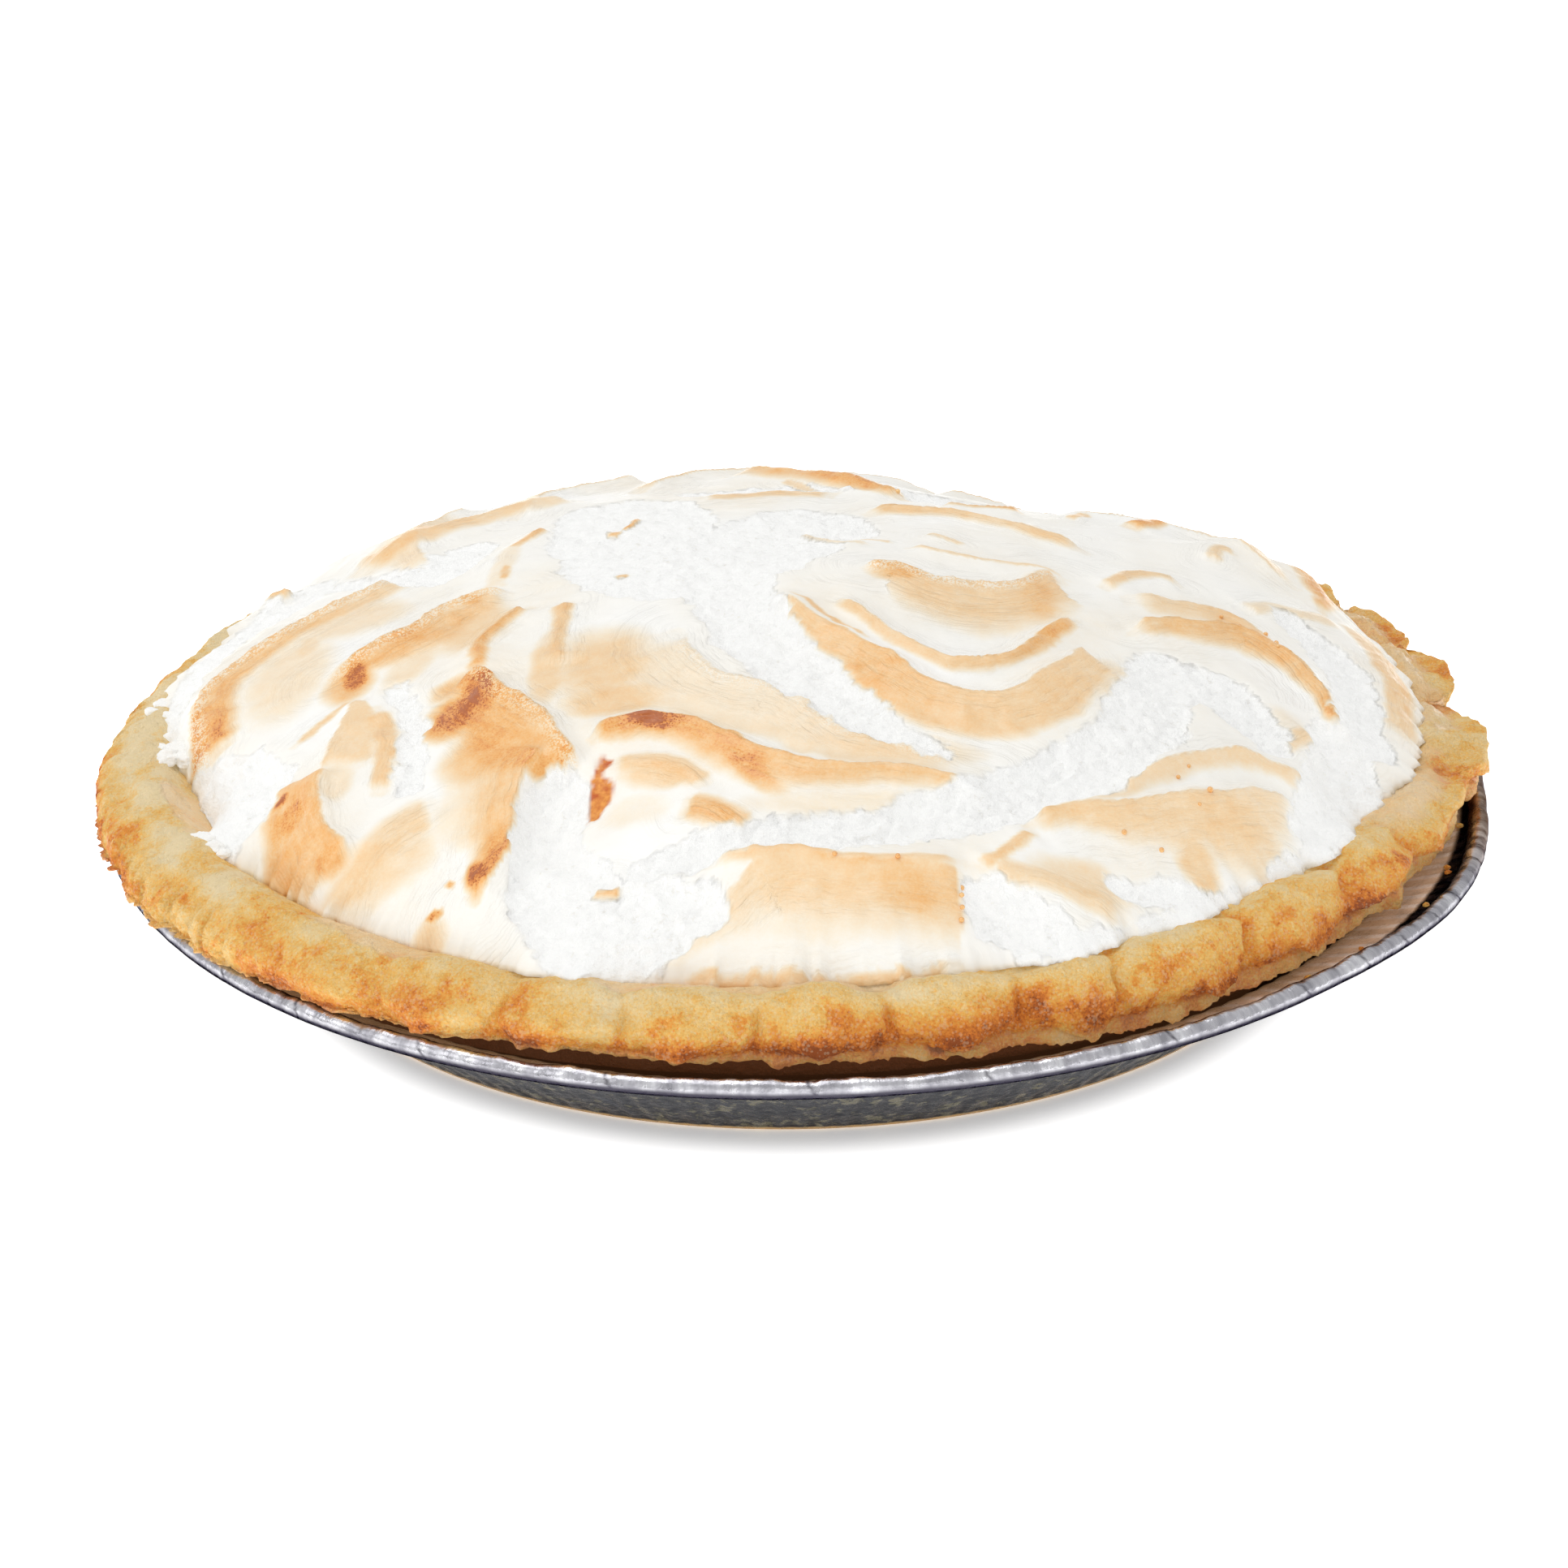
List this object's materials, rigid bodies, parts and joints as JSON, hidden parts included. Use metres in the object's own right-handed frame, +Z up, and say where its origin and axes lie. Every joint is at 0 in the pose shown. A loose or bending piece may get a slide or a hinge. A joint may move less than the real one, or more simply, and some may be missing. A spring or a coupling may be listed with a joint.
{
  "type": "lemon meringue pie",
  "caption": "Whole round lemon meringue pie in a shallow pleated foil tin, with a rolled crimped pastry rim and a toasted, folded meringue dome.",
  "frame": {"origin": "on the surface that the tin stands on, under the middle of the tin", "axes": "+Z up along the tin's axis, -Y towards the front, +X to the right"},
  "size_m": [0.2452, 0.2457, 0.0646],
  "materials": {
    "foil": "thin rolled aluminium foil, bright at the rolled rim, dull and baked-on below",
    "pastry": "baked shortcrust, golden with browner spots, dry and slightly flaky",
    "meringue": "soft white whipped egg white, toasted tan to brown along the crests of its folds"
  },
  "bodies": {
    "root": {"tin": "foil", "crust": "pastry", "meringue": "meringue"}
  },
  "joints": []
}
